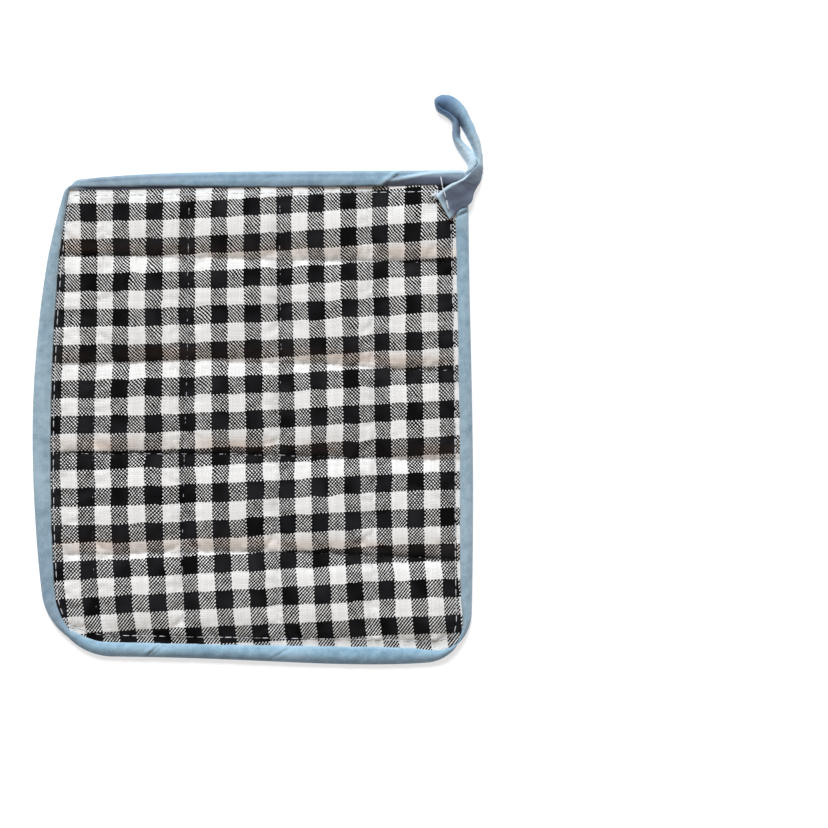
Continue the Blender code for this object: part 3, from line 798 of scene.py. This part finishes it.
loop_rows = smooth_curve(list(LOOP.values()), LOOP_STATIONS, False)
(outer_x, outer_y, inner_x, inner_y, outer_z, inner_z,
 crown_height, ridge, grime_and_painted_light, outer_blue, inner_blue) = (part[:, None] for part in loop_rows.T)
station = np.arange(LOOP_STATIONS)[:, None]
on_sewn_end = np.clip((SEWN_END - station) / 12, 0, 1)
turned_under = np.exp(-(station / 5) ** 2)
turn = np.arange(LOOP_AROUND) * 2 * np.pi / LOOP_AROUND
over = (1 - np.cos(turn)) / 2
front_face = np.clip(np.sin(turn) * 3, 0, 1)
edge_bead = np.exp(-((over - 0.94) / 0.05) ** 2) + 0.6 * np.exp(-((over - 0.06) / 0.05) ** 2)
swelling = np.sign(np.sin(turn)) * np.abs(np.sin(turn)) ** 0.7 * TAPE_THICK / 2 * (1 + 0.5 * edge_bead)
ridge_power = np.log(0.5) / np.log(np.clip(ridge, 0.25, 0.75))
peak = np.sin(np.pi * over ** ridge_power)
strip_width = np.hypot(inner_x - outer_x, inner_y - outer_y)
spine_height = outer_z + (inner_z - outer_z) * over + crown_height * peak + 0.35 * turned_under
level = over * strip_width
level_step = np.gradient(level, axis=1)
slope = np.gradient(spine_height, axis=1) / np.maximum(np.abs(level_step), 1e-4) * np.sign(level_step)
lean = np.arctan(slope)
share_moved = (level - np.sin(lean) * swelling) / strip_width
raised_share = np.clip(spine_height / 3, 0.2, 1)    # where the strip is low, its edges rest on the table
loop_points = np.stack([outer_x + (inner_x - outer_x) * share_moved,
                        outer_y + (inner_y - outer_y) * share_moved,
                        spine_height + np.cos(lean) * swelling + TAPE_THICK / 2 * raised_share], axis=-1)
across_mm = over * strip_width
creases = 0.20 * soft_noise(station + across_mm * 1.5, across_mm + 0 * station, 9, 2.6, 70) \
    + 0.08 * soft_noise(station * 1.0 + 0 * over, across_mm, 2.6, 1.6, 71)
loop_points = raised(loop_points, -creases * front_face * np.clip(station / 6, 0.3, 1))
loop_points[..., 2] = np.maximum(loop_points[..., 2], 0)
loop_numbers = np.arange(LOOP_STATIONS * LOOP_AROUND).reshape(LOOP_STATIONS, LOOP_AROUND)
loop_numbers = np.pad(loop_numbers, ((0, 0), (0, 1)), mode="wrap")
above = np.arange(LOOP_AROUND // 2)
across_end = np.column_stack([above, above + 1, LOOP_AROUND - above - 1, (LOOP_AROUND - above) % LOOP_AROUND])
last_end = across_end[:, ::-1] + (LOOP_STATIONS - 1) * LOOP_AROUND
loop_faces = [list(dict.fromkeys(face))
              for face in np.vstack([grid_faces(loop_numbers)[:, ::-1], across_end, last_end]).tolist()]
loop_middle = loop_points.mean(axis=1)
loop_length = np.concatenate([[0], np.cumsum(np.linalg.norm(np.diff(loop_middle, axis=0), axis=1))])
loop_uv = np.stack([loop_length[:, None] + 0 * over, across_mm * np.sign(np.sin(turn) + 1e-6)], axis=-1)
loop = new_object("hanging_loop", loop_points.reshape(-1, 3), loop_faces, loop_uv.reshape(-1, 2))
streak = 0.25 * soft_noise(across_mm + station * 0.15, station * 0.3 + 0 * over, 2.2, 9, 72)
# The sewn end's raised fold edge is painted pale as a painted highlight, and the strip's beaded edges
# elsewhere faintly so.
fold_edge_highlight = 3.6 * np.exp(-((over - 0.97) / 0.05) ** 2)
loop_dullness = grime_and_painted_light - on_sewn_end * (fold_edge_highlight + 1.5 * turned_under - streak) \
    - (1 - on_sewn_end) * 0.2 * edge_bead
# Deep blue about the crest, toward the inner edge, is painted shade.
set_wear_and_painted_light(loop, loop_dullness, outer_blue + (inner_blue - outer_blue) * over)
loop.data.materials.append(tape)
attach(loop, "root")
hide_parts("loop")

# ---------------------------------------------------------------------------------------------------
# The stitching of the loop's end: long stitches in pale thread down its cut edge, and the fibres that
# have frayed out of its inner corner.
# ---------------------------------------------------------------------------------------------------
END_STITCH = (5.2, 5.0)
END_THICK = 0.6
END_LINE = ((86.9, 110.4), (87.9, 104.9), (89.2, 100.8), (90.3, 95.6), (91.0, 91.0))
NEARBY = 1.2                # a thread lies on what it finds within this distance
FRAYED = (85.0, 102.2)
FRAY_COUNT = 60
FRAY_SPREAD = 0.45
FIBRE_LENGTH = (1.0, 2.6)
FIBRE_THICK = 0.5
FIBRE_BOW = 0.5


def top_of(x, y, *pieces):
    """The height of the highest point of some pieces near each place."""
    tops = []
    for piece in pieces:
        near = np.hypot(piece[:, 0] - x[:, None], piece[:, 1] - y[:, None]) < NEARBY
        tops.append(np.where(near, piece[:, 2], 0).max(axis=1))
    return np.max(tops, axis=0)


end_x, end_y = smooth_curve(END_LINE, 60, False).T
end_top = top_of(end_x, end_y, loop_points.reshape(-1, 3), ring_points.reshape(-1, 3), front_points)
white_thread = thread_finish("white thread", (0.55, 0.62, 0.70), (0.86, 0.89, 0.93))
stitched("loop_stitching", [(end_x, end_y, end_top + 0.1)], 0.3, END_STITCH, white_thread, END_THICK)
draws = np.random.default_rng(8)
fibre_turn = draws.uniform(1.6, 4.2, FRAY_COUNT)
fibre_heading = np.column_stack([np.cos(fibre_turn), np.sin(fibre_turn)])
fibre_length = draws.uniform(*FIBRE_LENGTH, FRAY_COUNT)
fibre_root = np.array(FRAYED) + draws.normal(0, FRAY_SPREAD, (FRAY_COUNT, 2))
fibre_middle = fibre_root + fibre_heading * fibre_length[:, None] * 0.35
fibre_height = top_of(*fibre_middle.T, front_points) + draws.uniform(0.1, 1.6, FRAY_COUNT)
frayed = new_object("frayed_end", *beads(
    np.column_stack([fibre_middle, fibre_height]), fibre_heading, fibre_length, FIBRE_THICK, FIBRE_BOW))
frayed.data.materials.append(white_thread)
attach(frayed, "root")

# ---------------------------------------------------------------------------------------------------
# The table, the light and the camera. The table is pale, soft light falls from beyond the holder's top
# edge, and the camera looks straight down, with the holder to the left of its view.
# ---------------------------------------------------------------------------------------------------
TABLE_REACH = 2500.0
VIEW_WIDTH = 380.9
VIEW_CENTRE = (74.5, 1.8)
VIEW_DISTANCE = 1200.0
VIEWED_HEIGHT = 4.0         # the view's width is measured at this height
SUN_LEAN = (-47, 0, 7)      # degrees about x, y and z

table_corners = np.array([(-1, -1, 0), (1, -1, 0), (1, 1, 0), (-1, 1, 0)]) * TABLE_REACH
table = new_object("table", table_corners, [[0, 1, 2, 3]])
table_finish, table_shader, table_nodes = new_finish("pale table", 0.8, 0.5)
table_nodes.node("ShaderNodeTexCoord", output=3).noise(9.0, 3.0).blend(
    (0.575, 0.595, 0.635), (0.59, 0.605, 0.64)).into(table_shader, "Base Color")
table_shader.inputs["Emission Color"].default_value = (1.0, 1.0, 1.0, 1)
table_shader.inputs["Emission Strength"].default_value = 0.56
table.data.materials.append(table_finish)

window = bpy.data.objects.new("window", bpy.data.lights.new("window", "SUN"))
window.data.energy = 3.3
window.data.angle = math.radians(26)
window.data.color = (0.93, 0.985, 1.03)
window.rotation_euler = [math.radians(turned) for turned in SUN_LEAN]
bpy.context.scene.collection.objects.link(window)

room = bpy.data.worlds.new("room")
room.use_nodes = True
room.node_tree.nodes["Background"].inputs["Color"].default_value = (1.0, 0.85, 0.72, 1)
room.node_tree.nodes["Background"].inputs["Strength"].default_value = 0.36
bpy.context.scene.world = room
bpy.context.scene.view_settings.view_transform = "Standard"

camera = bpy.data.objects.new("camera", bpy.data.cameras.new("camera"))
camera.location = (np.array([*VIEW_CENTRE, VIEW_DISTANCE + VIEWED_HEIGHT]) + SHIFT) * MM
camera.data.lens = camera.data.sensor_width * VIEW_DISTANCE / VIEW_WIDTH
bpy.context.scene.collection.objects.link(camera)
bpy.context.scene.camera = camera
